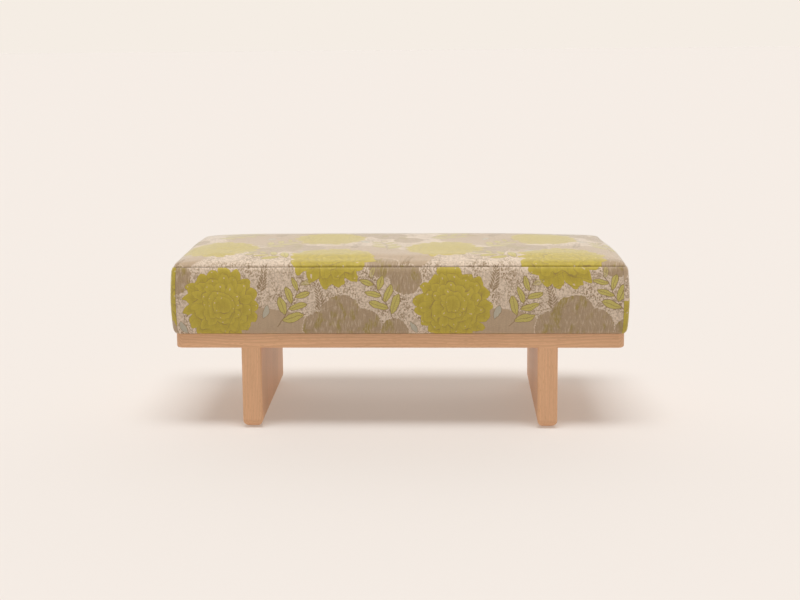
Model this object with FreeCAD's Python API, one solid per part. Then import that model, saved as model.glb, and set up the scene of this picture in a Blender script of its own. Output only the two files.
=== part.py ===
import FreeCAD, Part
import os
from math import cos, floor, pi, sin, sqrt

# An upholstered bench: a deep box cushion on a wooden platform with two slab legs.
# Millimetres. X runs along the bench, Y from front to back, Z up from the floor.
# The origin is on the floor under the middle of the bench.

# Platform, a mitred frame of solid wood with cross rails
platform_length = 1170.0
platform_depth = 470.0
platform_thickness = 38.5
platform_rail_width = 72.0
leg_rail_width = 90.0
centre_rail_width = 60.0
platform_corner_radius = 18.0
platform_edge_radius = 5.0
platform_top_ease = 1.5

# Slab legs, each glued up from upright staves
leg_height = 216.5
leg_thickness = 52.0
leg_spacing = 774.0
leg_stave_count = 4
leg_side_radius = 5.0
leg_foot_radius = 22.0

# Glides nailed under the legs
glide_height = 2.0
glide_radius = 8.0
glide_inset = 42.0
glide_bevel = 0.6
nail_radius = 1.25
nail_length = 18.0
nail_head_radius = 3.2
nail_head_height = 0.7
nail_head_depth = 0.6

# Joinery of the platform
spline_length = 62.0
spline_width = 30.0
spline_thickness = 6.0
rail_dowel_radius = 5.0
rail_dowel_length = 60.0
rail_dowel_edge = 18.0
leg_dowel_radius = 6.0
leg_dowel_length = 56.0
dowel_end_room = 0.8
dowel_clearance = 0.1

# Bolts that hold the legs, with washers and threaded inserts
leg_bolt_rows = (60.0, 148.0)
leg_bolt_radius = 4.0
leg_bolt_length = 80.0
leg_bolt_head_radius = 6.5
leg_bolt_head_height = 8.0
leg_bolt_key_width = 6.0
leg_bolt_key_depth = 4.0
washer_radius = 10.0
washer_thickness = 1.6
counterbore_depth = 11.0
counterbore_clearance = 0.6
bolt_clearance = 0.4
insert_radius = 6.0
insert_length = 30.0
insert_recess = 1.5
insert_clearance = 0.05

# Timber frame inside the cushion
seat_rail_height = 90.0
seat_rail_thickness = 22.0
seat_dowel_radius = 4.0
seat_dowel_length = 44.0
seat_dowel_edge = 22.0
strut_spacing = 380.0
strut_thickness = 22.0
strut_height = 50.0
strut_lift = 5.0
strut_dowel_length = 33.0
strut_dowel_edge = 12.5
block_side = 52.0
block_height = 76.0
block_lift = 6.0
block_screw_radius = 2.0
block_screw_length = 26.0
block_screw_seat = 10.0
block_screw_offset = 34.0
block_screw_edge = 18.0
block_pocket_clearance = 0.5
screw_head_ratio = 2.0
screw_head_height = 2.6

# Screws that hold the cushion on the platform
seat_screw_inner_row = 180.0
seat_screw_end_margin = 105.0
seat_screw_radius = 2.5
seat_screw_length = 70.0
seat_screw_counterbore_radius = 6.5
seat_screw_counterbore_depth = 10.0
screw_clearance = 0.2
pilot_clearance = 0.05

# Webbing over the frame, and the cloth on it
web_width = 50.0
web_thickness = 1.4
web_gap = 0.3
web_end_margin = 4.0
cross_web_pitch = 110.0
cross_web_reach = 440.0
long_web_pitch = 90.0
long_web_reach = 90.0
web_bend_room = 4.0
hessian_thickness = 0.8

# Cushion: its outer form, measured on the cover
seat_overhang = 3.0
side_height = 175.7
crown_height = 18.5
crown_edge_width = 64.0
crown_rings = 7
seam_draw_in = 0.5
side_swell = 10.5
side_bow = 1.5
cushion_corner_radius = 16.0
inner_corner_radius = 2.0
corner_seam_inset = 9.0
crown_corner_growth = 0.5
side_stations = ((0.0, 0.0), (0.06, 0.5), (0.2, 0.78), (0.45, 1.0), (0.75, 0.78), (0.9, 0.4), (1.0, 0.0))

# Cushion: its layers, from the outside in
cover_thickness = 1.8
layer_gap = 0.3
wadding_thickness = 8.0
side_pad_thickness = 12.0
flange_width = 42.0
dust_cover_thickness = 0.8
dust_cover_inset = 16.0

# Staples
staple_width = 10.0
staple_wire = 0.6
staple_leg = 10.0
cover_staple_pitch = 60.0
cover_staple_inset = 9.0
dust_staple_pitch = 90.0
dust_staple_inset = 17.0
web_staple_offset = 12.0
web_staple_inset = 8.0

# Levels and half sizes that follow from these
platform_x = platform_length / 2
platform_y = platform_depth / 2
platform_bottom = leg_height
platform_top = leg_height + platform_thickness
rail_inner_y = platform_y - platform_rail_width
leg_x = leg_spacing / 2

cushion_x = platform_x + seat_overhang
cushion_y = platform_y + seat_overhang
cushion_bottom = platform_top + dust_cover_thickness
seam_level = cushion_bottom + side_height
pad_inset = cover_thickness + layer_gap + wadding_thickness + layer_gap

seat_x = cushion_x - pad_inset - side_pad_thickness
seat_y = cushion_y - pad_inset - side_pad_thickness
seat_bottom = cushion_bottom + cover_thickness
seat_top = seat_bottom + seat_rail_height
seat_inner_x = seat_x - seat_rail_thickness
seat_inner_y = seat_y - seat_rail_thickness
seat_screw_rows = (seat_screw_inner_row, platform_x - seat_screw_end_margin)
hessian_bottom = seat_top + 2 * web_thickness + 2 * web_gap
foam_bottom = hessian_bottom + hessian_thickness

# Far enough outside everything for a cutting shape
beyond = platform_length


def point(x, y, z):
    return FreeCAD.Vector(x, y, z)


def box(x_low, x_high, y_low, y_high, z_low, z_high):
    corner = point(x_low, y_low, z_low)
    return Part.makeBox(x_high - x_low, y_high - y_low, z_high - z_low, corner)


def cylinder(radius, length, base, direction=(0, 0, 1)):
    return Part.makeCylinder(radius, length, point(*base), point(*direction))


def prism(outline, z_low, z_high):
    """Upright prism over a list of plan points."""
    corners = [point(x, y, z_low) for x, y in outline]
    face = Part.Face(Part.makePolygon(corners + corners[:1]))
    return face.extrude(point(0, 0, z_high - z_low))


def rounded_plan(x_half, y_half, radius, z_low, z_high):
    """Upright block about the Z axis with its four upright edges rounded."""
    block = box(-x_half, x_half, -y_half, y_half, z_low, z_high)
    upright = [edge for edge in block.Edges if is_upright(edge)]
    return block.makeFillet(radius, upright)


def is_upright(edge):
    start = edge.Vertexes[0].Point
    end = edge.Vertexes[-1].Point
    return abs(end.z - start.z) > 0.5 * edge.Length


def edges_at(shape, level):
    """Edges that lie flat at one height."""
    return [edge for edge in shape.Edges
            if abs(edge.BoundBox.ZMin - level) < 0.001 and abs(edge.BoundBox.ZMax - level) < 0.001]


def moved(shape, x=0.0, y=0.0, z=0.0):
    copy = shape.copy()
    copy.translate(point(x, y, z))
    return copy


def mirrored_x(shape):
    return shape.mirror(point(0, 0, 0), point(1, 0, 0))


def mirrored_y(shape):
    return shape.mirror(point(0, 0, 0), point(0, 1, 0))


def steps(reach, pitch):
    """Evenly spaced places, centred on zero, no further out than reach."""
    count = floor(2 * reach / pitch + 0.001)
    return [(index - count / 2) * pitch for index in range(count + 1)]


def cut_all(shape, tools):
    return shape.cut(Part.makeCompound(tools)) if tools else shape


def four_ways(x, y):
    """One place mirrored into the four quarters of the plan."""
    return [(x_sign * x, y_sign * y) for x_sign in (-1, 1) for y_sign in (-1, 1)]


# Platform and legs

def leg_plan_block(z_low, z_high):
    """Plan of one slab leg, run up to any height, about the Z axis."""
    return rounded_plan(leg_thickness / 2, platform_y, leg_side_radius, z_low, z_high)


def platform_block():
    """The platform before it is divided, square-edged only where the legs meet it."""
    block = rounded_plan(platform_x, platform_y, platform_corner_radius, platform_bottom, platform_top)
    block = block.makeFillet(platform_edge_radius, edges_at(block, platform_bottom))
    block = block.makeFillet(platform_top_ease, edges_at(block, platform_top))
    for x in (-leg_x, leg_x):
        shoulder = moved(leg_plan_block(platform_bottom, platform_bottom + platform_edge_radius), x=x)
        block = block.fuse(shoulder)
    return block.removeSplitter()


def mitred_rail_plan(along, across):
    """Plan of a rail along the front: half length, half depth, mitred at both ends."""
    spill = platform_edge_radius
    return [(-along - spill, -across - spill), (along + spill, -across - spill),
            (along - platform_rail_width, -across + platform_rail_width),
            (-along + platform_rail_width, -across + platform_rail_width)]


def corner_splines():
    """Flat splines across the mitres, one in each corner of the platform."""
    level = platform_bottom + platform_thickness / 2 - spline_thickness / 2
    flat = box(-spline_length / 2, spline_length / 2, -spline_width / 2, spline_width / 2,
               level, level + spline_thickness)
    flat.rotate(point(0, 0, 0), point(0, 0, 1), 45)
    x = platform_x - platform_rail_width / 2
    y = platform_y - platform_rail_width / 2
    front_left = moved(flat, -x, -y)
    front_right = mirrored_x(front_left)
    return [front_left, front_right, mirrored_y(front_left), mirrored_y(front_right)]


def cross_rails():
    """Name, middle and width of each rail from the front rail to the back rail."""
    return (("left_leg_rail", -leg_x, leg_rail_width),
            ("centre_rail", 0.0, centre_rail_width),
            ("right_leg_rail", leg_x, leg_rail_width))


def rail_dowel_places():
    level = platform_bottom + platform_thickness / 2
    places = []
    for _, middle, width in cross_rails():
        for x in (middle - width / 2 + rail_dowel_edge, middle + width / 2 - rail_dowel_edge):
            for y in (-rail_inner_y, rail_inner_y):
                places.append((x, y, level))
    return places


def dowel(radius, length, centre, direction):
    x, y, z = centre
    u, v, w = direction
    base = (x - u * length / 2, y - v * length / 2, z - w * length / 2)
    return cylinder(radius, length, base, direction)


def dowel_hole(radius, length, centre, direction):
    return dowel(radius + dowel_clearance, length + 2 * dowel_end_room, centre, direction)


def leg_dowel_places():
    return [(x, y, platform_bottom) for x, y in four_ways(leg_x, platform_y - platform_rail_width / 2)]


def leg_bolt_places():
    return [place for row in leg_bolt_rows for place in four_ways(leg_x, row)]


def seat_screw_places():
    return [place for row in seat_screw_rows for place in four_ways(row, seat_y - seat_rail_thickness / 2)]


def glide_places():
    return four_ways(leg_x, platform_y - glide_inset)


def bolt_seat():
    """Height of the floor of the counterbores for the leg bolts."""
    return platform_top - counterbore_depth


def leg_bolt(x, y):
    seat = bolt_seat() + washer_thickness
    shank = cylinder(leg_bolt_radius, leg_bolt_length, (x, y, seat - leg_bolt_length))
    head = cylinder(leg_bolt_head_radius, leg_bolt_head_height, (x, y, seat))
    key_radius = leg_bolt_key_width / sqrt(3)
    corners = []
    for u, v in ((1, 0), (0.5, sqrt(3) / 2), (-0.5, sqrt(3) / 2), (-1, 0), (-0.5, -sqrt(3) / 2), (0.5, -sqrt(3) / 2)):
        corners.append((x + u * key_radius, y + v * key_radius))
    top = seat + leg_bolt_head_height
    return shank.fuse(head).cut(prism(corners, top - leg_bolt_key_depth, top)).removeSplitter()


def leg_washer(x, y):
    ring = cylinder(washer_radius, washer_thickness, (x, y, bolt_seat()))
    return ring.cut(cylinder(leg_bolt_radius + bolt_clearance, washer_thickness, (x, y, bolt_seat())))


def insert_bottom():
    return platform_bottom - insert_recess - insert_length


def leg_insert(x, y):
    bush = cylinder(insert_radius, insert_length, (x, y, insert_bottom()))
    return bush.cut(cylinder(leg_bolt_radius + insert_clearance, insert_length, (x, y, insert_bottom())))


def leg_bolt_hole_in_rail(x, y):
    bore = cylinder(leg_bolt_radius + bolt_clearance, platform_thickness, (x, y, platform_bottom))
    pocket = cylinder(washer_radius + counterbore_clearance, counterbore_depth, (x, y, bolt_seat()))
    return bore.fuse(pocket)


def leg_bolt_hole_in_leg(x, y):
    socket = cylinder(insert_radius + insert_clearance, insert_recess + insert_length, (x, y, insert_bottom()))
    tip = bolt_seat() + washer_thickness - leg_bolt_length - dowel_end_room
    bore = cylinder(leg_bolt_radius + bolt_clearance, platform_bottom - tip, (x, y, tip))
    return socket.fuse(bore)


def wood_screw(radius, length, base, direction):
    """Screw whose head sits at base and whose point lies length further on."""
    head = cylinder(radius * screw_head_ratio, screw_head_height, base, direction)
    return head.fuse(cylinder(radius, length, base, direction)).removeSplitter()


def seat_screw_base(x, y):
    return (x, y, platform_bottom + seat_screw_counterbore_depth)


def seat_screw_hole(x, y, clearance):
    """Shank hole from the counterbore to past the screw's point."""
    return cylinder(seat_screw_radius + clearance, seat_screw_length + dowel_end_room, seat_screw_base(x, y))


def seat_screw_hole_in_platform(x, y):
    pocket = cylinder(seat_screw_counterbore_radius, seat_screw_counterbore_depth + screw_head_height,
                      (x, y, platform_bottom))
    return pocket.fuse(seat_screw_hole(x, y, screw_clearance))


def platform_nodes():
    block = platform_block()
    splines = corner_splines()
    rail_dowels = []
    joint_holes = []
    for place in rail_dowel_places():
        rail_dowels.append(dowel(rail_dowel_radius, rail_dowel_length, place, (0, 1, 0)))
        joint_holes.append(dowel_hole(rail_dowel_radius, rail_dowel_length, place, (0, 1, 0)))
    leg_holes = [dowel_hole(leg_dowel_radius, leg_dowel_length, place, (0, 0, 1)) for place in leg_dowel_places()]
    screw_holes = [seat_screw_hole_in_platform(x, y) for x, y in seat_screw_places()]
    bolt_holes = [leg_bolt_hole_in_rail(x, y) for x, y in leg_bolt_places()]

    front_plan = prism(mitred_rail_plan(platform_x, platform_y), platform_bottom, platform_top)
    front = cut_all(block.common(front_plan), splines + joint_holes + leg_holes + screw_holes)
    back = cut_all(block.common(mirrored_y(front_plan)), splines + joint_holes + leg_holes + screw_holes)
    end_plan = prism([(x, y) for y, x in mitred_rail_plan(platform_y, platform_x)], platform_bottom, platform_top)
    left = cut_all(block.common(end_plan), splines)
    right = cut_all(block.common(mirrored_x(end_plan)), splines)
    nodes = {"front_rail": [front], "back_rail": [back], "left_end_rail": [left], "right_end_rail": [right],
             "corner_splines": splines, "rail_dowels": rail_dowels}
    for name, middle, width in cross_rails():
        rail = box(middle - width / 2, middle + width / 2, -rail_inner_y, rail_inner_y,
                   platform_bottom, platform_top)
        nodes[name] = [cut_all(rail, joint_holes + bolt_holes)]
    return nodes


def slab_leg():
    """One slab leg about the Z axis, rounded at its foot, with no holes yet."""
    slab = leg_plan_block(glide_height, platform_bottom)
    return slab.common(foot_profile(leg_thickness / 2, False)).common(foot_profile(platform_y, True))


def foot_profile(half_width, turned):
    """Upright slice, wide one way, with its two lower corners rounded."""
    block = box(-half_width, half_width, -beyond, beyond, glide_height, platform_bottom)
    lower = [edge for edge in edges_at(block, glide_height) if edge.Length > beyond]
    block = block.makeFillet(leg_foot_radius, lower)
    if turned:
        block.rotate(point(0, 0, 0), point(0, 0, 1), 90)
    return block


def leg_nodes():
    nodes = {}
    stave_width = platform_depth / leg_stave_count
    holes = [dowel_hole(leg_dowel_radius, leg_dowel_length, place, (0, 0, 1)) for place in leg_dowel_places()]
    holes += [leg_bolt_hole_in_leg(x, y) for x, y in leg_bolt_places()]
    holes += [nail_hole(x, y) for x, y in glide_places()]
    slab = slab_leg()
    for side, x in (("left", -leg_x), ("right", leg_x)):
        leg = cut_all(moved(slab, x=x), holes)
        for index in range(leg_stave_count):
            front = -platform_y + index * stave_width
            slice_box = box(x - leg_thickness, x + leg_thickness, front, front + stave_width,
                            glide_height, platform_bottom)
            nodes["%s_leg_stave_%d" % (side, index + 1)] = [leg.common(slice_box)]
    nodes["leg_dowels"] = [dowel(leg_dowel_radius, leg_dowel_length, place, (0, 0, 1))
                           for place in leg_dowel_places()]
    nodes["leg_bolts"] = [leg_bolt(x, y) for x, y in leg_bolt_places()]
    nodes["leg_washers"] = [leg_washer(x, y) for x, y in leg_bolt_places()]
    nodes["leg_inserts"] = [leg_insert(x, y) for x, y in leg_bolt_places()]
    nodes["glides"] = [glide(x, y) for x, y in glide_places()]
    nodes["glide_nails"] = [glide_nail(x, y) for x, y in glide_places()]
    return nodes


def glide_nail(x, y):
    head = cylinder(nail_head_radius, nail_head_height, (x, y, nail_head_depth))
    shank = cylinder(nail_radius, nail_length, (x, y, nail_head_depth))
    return head.fuse(shank).removeSplitter()


def nail_hole(x, y):
    return cylinder(nail_radius + pilot_clearance, nail_length + dowel_end_room, (x, y, nail_head_depth))


def glide(x, y):
    disc = cylinder(glide_radius, glide_height, (x, y, 0))
    disc = disc.makeChamfer(glide_bevel, edges_at(disc, 0))
    pocket = cylinder(nail_head_radius + pilot_clearance, nail_head_depth + nail_head_height, (x, y, 0))
    return disc.cut(pocket.fuse(nail_hole(x, y)))


# Timber frame of the cushion

def seat_dowel_places():
    """Dowels along X where the end rails meet the long rails."""
    places = []
    for x, y in four_ways(seat_inner_x + seat_rail_thickness / 2, seat_inner_y):
        for z in (seat_bottom + seat_dowel_edge, seat_top - seat_dowel_edge):
            places.append((x, y, z))
    return places


def strut_dowel_places():
    places = []
    for x, y in four_ways(strut_spacing / 2, seat_inner_y):
        for z in (strut_bottom() + strut_dowel_edge, strut_bottom() + strut_height - strut_dowel_edge):
            places.append((x, y, z))
    return places


def strut_bottom():
    return seat_bottom + strut_lift


def corner_block(x_sign, y_sign):
    """Three-cornered block glued into one inner corner of the frame."""
    x = x_sign * seat_inner_x
    y = y_sign * seat_inner_y
    outline = [(x, y), (x - x_sign * block_side, y), (x, y - y_sign * block_side)]
    low = seat_bottom + block_lift
    return prism(outline, low, low + block_height)


def block_screw_lines(x_sign, y_sign):
    """Start and direction of the two screws through one corner block."""
    low = seat_bottom + block_lift
    to_long_rail = ((x_sign * (seat_inner_x - block_screw_offset), y_sign * (seat_inner_y - block_screw_seat),
                     low + block_screw_edge), (0, y_sign, 0))
    to_end_rail = ((x_sign * (seat_inner_x - block_screw_seat), y_sign * (seat_inner_y - block_screw_offset),
                    low + block_height - block_screw_edge), (x_sign, 0, 0))
    return (to_long_rail, to_end_rail)


def block_screw_hole(base, direction):
    """Pilot hole onward from the seat, and a pocket back out for the head."""
    pilot = cylinder(block_screw_radius + pilot_clearance, block_screw_length + dowel_end_room, base, direction)
    head = cylinder(block_screw_radius * screw_head_ratio + block_pocket_clearance, screw_head_height,
                    base, direction)
    back = tuple(-value for value in direction)
    pocket = cylinder(block_screw_radius * screw_head_ratio + block_pocket_clearance, block_side, base, back)
    return pilot.fuse(head).fuse(pocket)


def seat_frame_nodes(staples):
    seat_dowels = []
    strut_dowels = []
    holes = []
    for place in seat_dowel_places():
        seat_dowels.append(dowel(seat_dowel_radius, seat_dowel_length, place, (0, 1, 0)))
        holes.append(seat_dowel_hole(place))
    for place in strut_dowel_places():
        strut_dowels.append(dowel(seat_dowel_radius, strut_dowel_length, place, (0, 1, 0)))
        holes.append(dowel_hole(seat_dowel_radius, strut_dowel_length, place, (0, 1, 0)))
    blocks = []
    screws = []
    for x_sign, y_sign in four_ways(1, 1):
        lines = block_screw_lines(x_sign, y_sign)
        sockets = [block_screw_hole(base, direction) for base, direction in lines]
        blocks.append(cut_all(corner_block(x_sign, y_sign), sockets))
        screws += [wood_screw(block_screw_radius, block_screw_length, base, direction) for base, direction in lines]
        holes += [cylinder(block_screw_radius + pilot_clearance, block_screw_length + dowel_end_room, base, direction)
                  for base, direction in lines]
    holes += [seat_screw_hole(x, y, pilot_clearance) for x, y in seat_screw_places()]
    holes += staples

    front = box(-seat_x, seat_x, -seat_y, -seat_inner_y, seat_bottom, seat_top)
    left = box(-seat_x, -seat_inner_x, -seat_inner_y, seat_inner_y, seat_bottom, seat_top)
    nodes = {"seat_front_rail": [cut_all(front, holes)],
             "seat_back_rail": [cut_all(mirrored_y(front), holes)],
             "seat_left_rail": [cut_all(left, holes)],
             "seat_right_rail": [cut_all(mirrored_x(left), holes)]}
    struts = []
    for x in (-strut_spacing / 2, strut_spacing / 2):
        strut = box(x - strut_thickness / 2, x + strut_thickness / 2, -seat_inner_y, seat_inner_y,
                    strut_bottom(), strut_bottom() + strut_height)
        struts.append(cut_all(strut, holes))
    nodes["seat_struts"] = struts
    nodes["seat_dowels"] = seat_dowels
    nodes["strut_dowels"] = strut_dowels
    nodes["corner_blocks"] = blocks
    nodes["block_screws"] = screws
    nodes["seat_screws"] = [wood_screw(seat_screw_radius, seat_screw_length, seat_screw_base(x, y), (0, 0, 1))
                            for x, y in seat_screw_places()]
    return nodes


def seat_dowel_hole(place):
    return dowel_hole(seat_dowel_radius, seat_dowel_length, place, (0, 1, 0))


# Webbing

def cross_webs():
    """Straps from the front rail to the back rail, lying flat on their tops."""
    reach = seat_y - web_end_margin
    return [box(x - web_width / 2, x + web_width / 2, -reach, reach, seat_top, seat_top + web_thickness)
            for x in steps(cross_web_reach, cross_web_pitch)]


def long_web(y, first_side):
    """Strap from end rail to end rail, woven over and under the cross straps."""
    reach = seat_x - web_end_margin
    lift = web_thickness + web_gap
    line = [(-reach, 0.0), (-seat_inner_x, 0.0)]
    side = first_side
    for x in steps(cross_web_reach, cross_web_pitch):
        half = web_width / 2 + web_bend_room
        line += [(x - half, side * lift), (x + half, side * lift)]
        side = -side
    line += [(seat_inner_x, 0.0), (reach, 0.0)]
    lower = [point(x, y - web_width / 2, seat_top + z) for x, z in line]
    upper = [point(x, y - web_width / 2, seat_top + z + web_thickness) for x, z in reversed(line)]
    face = Part.Face(Part.makePolygon(lower + upper + lower[:1]))
    return face.extrude(point(0, web_width, 0))


def long_webs():
    straps = []
    side = 1
    for y in steps(long_web_reach, long_web_pitch):
        straps.append(long_web(y, side))
        side = -side
    return straps


# Staples

def staple(x, y, z, along_x, up):
    """Staple with its crown's outer face at z and its legs going up or down from it."""
    low = z if up else z - staple_wire
    leg_low = z if up else z - staple_leg
    crown = box(-staple_width / 2, staple_width / 2, -staple_wire / 2, staple_wire / 2, low, low + staple_wire)
    shape = crown
    for side in (-1, 1):
        middle = side * (staple_width - staple_wire) / 2
        shape = shape.fuse(box(middle - staple_wire / 2, middle + staple_wire / 2,
                               -staple_wire / 2, staple_wire / 2, leg_low, leg_low + staple_leg))
    shape = shape.removeSplitter()
    if not along_x:
        shape.rotate(point(0, 0, 0), point(0, 0, 1), 90)
    return moved(shape, x, y)


def staple_ring(inset, pitch, level):
    """Staples around the underside of the frame, inset from its outer faces."""
    x_line = seat_x - inset
    y_line = seat_y - inset
    staples = []
    for x in steps(x_line - pitch / 2, pitch):
        if clear_of_screws(x):
            staples += [staple(x, y, level, True, True) for y in (-y_line, y_line)]
    for y in steps(y_line - pitch / 2, pitch):
        staples += [staple(x, y, level, False, True) for x in (-x_line, x_line)]
    return staples


def clear_of_screws(x):
    """Whether a staple at x along a long rail misses every seat screw there."""
    room = staple_width / 2 + seat_screw_radius + staple_wire
    return all(abs(abs(x) - row) > room for row in seat_screw_rows)


def web_staples():
    level = seat_top + web_thickness
    staples = []
    y_line = seat_y - web_staple_inset
    for x in steps(cross_web_reach, cross_web_pitch):
        for offset in (-web_staple_offset, web_staple_offset):
            staples += [staple(x + offset, y, level, True, False) for y in (-y_line, y_line)]
    x_line = seat_x - web_staple_inset
    for y in steps(long_web_reach, long_web_pitch):
        for offset in (-web_staple_offset, web_staple_offset):
            staples += [staple(x, y + offset, level, False, False) for x in (-x_line, x_line)]
    return staples


# Cushion

def side_edge(start, end, bulge):
    """Edge from start to end that swells by bulge, a vector, at its middle."""
    if bulge.Length < 0.01:
        return Part.LineSegment(start, end).toShape()
    return Part.Arc(start, (start + end) * 0.5 + bulge, end).toShape()


def outline(x_half, y_half, radius, bow, z):
    """Closed plan outline: four shallow side arcs and four corner arcs."""
    turn = radius * (1 - sqrt(0.5))
    edges = []
    quarters = (((-1, -1), (0, -1), (1, -1)), ((1, -1), (1, 0), (1, 1)),
                ((1, 1), (0, 1), (-1, 1)), ((-1, 1), (-1, 0), (-1, -1)))
    for first, out, second in quarters:
        start = corner_end(x_half, y_half, radius, first, out, z)
        end = corner_end(x_half, y_half, radius, second, out, z)
        edges.append(side_edge(start, end, point(out[0] * bow, out[1] * bow, 0)))
        following = (-out[1], out[0])
        middle = point(second[0] * (x_half - turn), second[1] * (y_half - turn), z)
        edges.append(Part.Arc(end, middle, corner_end(x_half, y_half, radius, second, following, z)).toShape())
    return Part.Wire(edges)


def corner_end(x_half, y_half, radius, corner, out, z):
    """Where a corner's arc meets the side that faces out."""
    x = corner[0] * (x_half - (radius if out[0] == 0 else 0))
    y = corner[1] * (y_half - (radius if out[1] == 0 else 0))
    return point(x, y, z)


def layer_radius(inset):
    return max(cushion_corner_radius - inset, inner_corner_radius)


def cushion_sides(inset):
    """The cushion from its underside to the top seam, drawn in by inset all round."""
    rings = []
    for share, swell in side_stations:
        out = side_swell * swell - seam_draw_in * share - inset
        rings.append(outline(cushion_x + out, cushion_y + out, layer_radius(inset), side_bow * swell,
                             cushion_bottom + side_height * share))
    return Part.makeLoft(rings, True, False)


def cushion_crown(inset):
    """The cushion's crowned top above the seam, rounded over as a quarter of an ellipse."""
    rings = []
    for index in range(crown_rings):
        angle = 0.5 * pi * index / (crown_rings - 1)
        step_in = crown_edge_width * (1 - cos(angle))
        inward = seam_draw_in + inset + step_in
        radius = layer_radius(inset) + crown_corner_growth * step_in
        rings.append(outline(cushion_x - inward, cushion_y - inward, radius, 0.0,
                             seam_level + (crown_height - inset) * sin(angle)))
    return Part.makeLoft(rings, True, False)


def cushion_body(inset, bottom):
    """Sides and crown together, cut off flat at bottom."""
    whole = cushion_sides(inset).fuse(cushion_crown(inset))
    return whole.common(box(-beyond, beyond, -beyond, beyond, bottom, seam_level + crown_height))


def long_panel_plan(seam_x, turn_y, reach):
    """Plan of a front panel: out past the corner seams, mitred where it turns under."""
    return [(-seam_x, -beyond), (seam_x, -beyond), (seam_x, -turn_y), (seam_x - reach, -turn_y + reach),
            (-seam_x + reach, -turn_y + reach), (-seam_x, -turn_y)]


def end_panel_plan(seam_x, turn_y, reach):
    return [(-beyond, -beyond), (-seam_x, -beyond), (-seam_x, -turn_y), (-seam_x + reach, -turn_y + reach),
            (-seam_x + reach, turn_y - reach), (-seam_x, turn_y), (-seam_x, beyond), (-beyond, beyond)]


def divided(shell, seam_x, turn_y, reach, low, high):
    """Front, back, left and right parts of a hollow wall."""
    front = prism(long_panel_plan(seam_x, turn_y, reach), low, high)
    left = prism(end_panel_plan(seam_x, turn_y, reach), low, high)
    return (shell.common(front), shell.common(mirrored_y(front)), shell.common(left), shell.common(mirrored_x(left)))


def cover_nodes(staples):
    """Fabric panels: a crowned top, and four walls that turn in under the frame."""
    hollow = cushion_sides(cover_thickness).common(
        box(-beyond, beyond, -beyond, beyond, cushion_bottom + cover_thickness, seam_level))
    mouth_x = cushion_x - flange_width
    mouth_y = cushion_y - flange_width
    mouth = box(-mouth_x, mouth_x, -mouth_y, mouth_y, cushion_bottom, cushion_bottom + cover_thickness)
    walls = cushion_sides(0).cut(hollow).cut(mouth)
    holes = [seat_screw_hole(x, y, screw_clearance) for x, y in seat_screw_places()]
    walls = cut_all(walls, holes + staples)
    seam_x = cushion_x - corner_seam_inset
    turn_y = cushion_y - corner_seam_inset
    front, back, left, right = divided(walls, seam_x, turn_y, flange_width, cushion_bottom, seam_level)
    top = cushion_crown(0).cut(cushion_crown(cover_thickness))
    return {"top_cover": [top], "front_cover": [front], "back_cover": [back],
            "left_cover": [left], "right_cover": [right]}


def padding_nodes():
    """Wadding, the seat foam on the webbing, and foam pads on the frame's outer faces."""
    wadding_inset = cover_thickness + layer_gap
    wadding_bottom = seat_bottom + layer_gap
    inner = cushion_body(wadding_inset + wadding_thickness, cushion_bottom)
    wadding = cushion_body(wadding_inset, wadding_bottom).cut(inner)
    body = cushion_body(pad_inset, seat_bottom + layer_gap)
    foam = body.common(box(-beyond, beyond, -beyond, beyond, foam_bottom, seam_level + crown_height))
    pads = body.common(box(-beyond, beyond, -beyond, beyond, seat_bottom, foam_bottom))
    pads = pads.cut(box(-seat_x, seat_x, -seat_y, seat_y, cushion_bottom, seam_level))
    front, back, left, right = divided(pads, seat_x, seat_y, side_pad_thickness, seat_bottom, foam_bottom)
    return {"wadding": [wadding], "seat_foam": [foam], "front_foam_pad": [front], "back_foam_pad": [back],
            "left_foam_pad": [left], "right_foam_pad": [right]}


def dust_cover(staples):
    x = cushion_x - dust_cover_inset
    y = cushion_y - dust_cover_inset
    sheet = box(-x, x, -y, y, platform_top, cushion_bottom)
    holes = [seat_screw_hole(u, v, screw_clearance) for u, v in seat_screw_places()]
    return cut_all(sheet, holes + staples)


def cushion_nodes():
    cover_staples = staple_ring(cover_staple_inset, cover_staple_pitch, cushion_bottom)
    dust_staples = staple_ring(dust_staple_inset, dust_staple_pitch, platform_top)
    webbing_staples = web_staples()
    nodes = seat_frame_nodes(cover_staples + dust_staples + webbing_staples)
    nodes["cross_webbing"] = [cut_all(strap, webbing_staples) for strap in cross_webs()]
    nodes["long_webbing"] = [cut_all(strap, webbing_staples) for strap in long_webs()]
    nodes["webbing_staples"] = webbing_staples
    nodes["hessian"] = [box(-seat_x, seat_x, -seat_y, seat_y, hessian_bottom, foam_bottom)]
    nodes.update(padding_nodes())
    nodes.update(cover_nodes(cover_staples + dust_staples))
    nodes["dust_cover"] = [dust_cover(dust_staples)]
    nodes["cover_staples"] = cover_staples
    nodes["dust_cover_staples"] = dust_staples
    return nodes


def solids_of(shapes):
    return [solid for shape in shapes for solid in shape.Solids]


def write_nodes(nodes):
    os.makedirs("parts", exist_ok=True)
    for name, shapes in nodes.items():
        solids = solids_of(shapes)
        shape = solids[0] if len(solids) == 1 else Part.makeCompound(solids)
        shape.exportStep("parts/%s.step" % name)
        print(name, len(solids), "solids, volume %.1f cm3" % (shape.Volume / 1000), "valid", shape.isValid())


def main():
    nodes = platform_nodes()
    nodes.update(leg_nodes())
    nodes.update(cushion_nodes())
    write_nodes(nodes)


main()
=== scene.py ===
"""The look of the upholstered bench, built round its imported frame. Lengths are in metres."""

import math

import bpy
import numpy as np
from mathutils import Matrix, Vector, kdtree, noise


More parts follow.
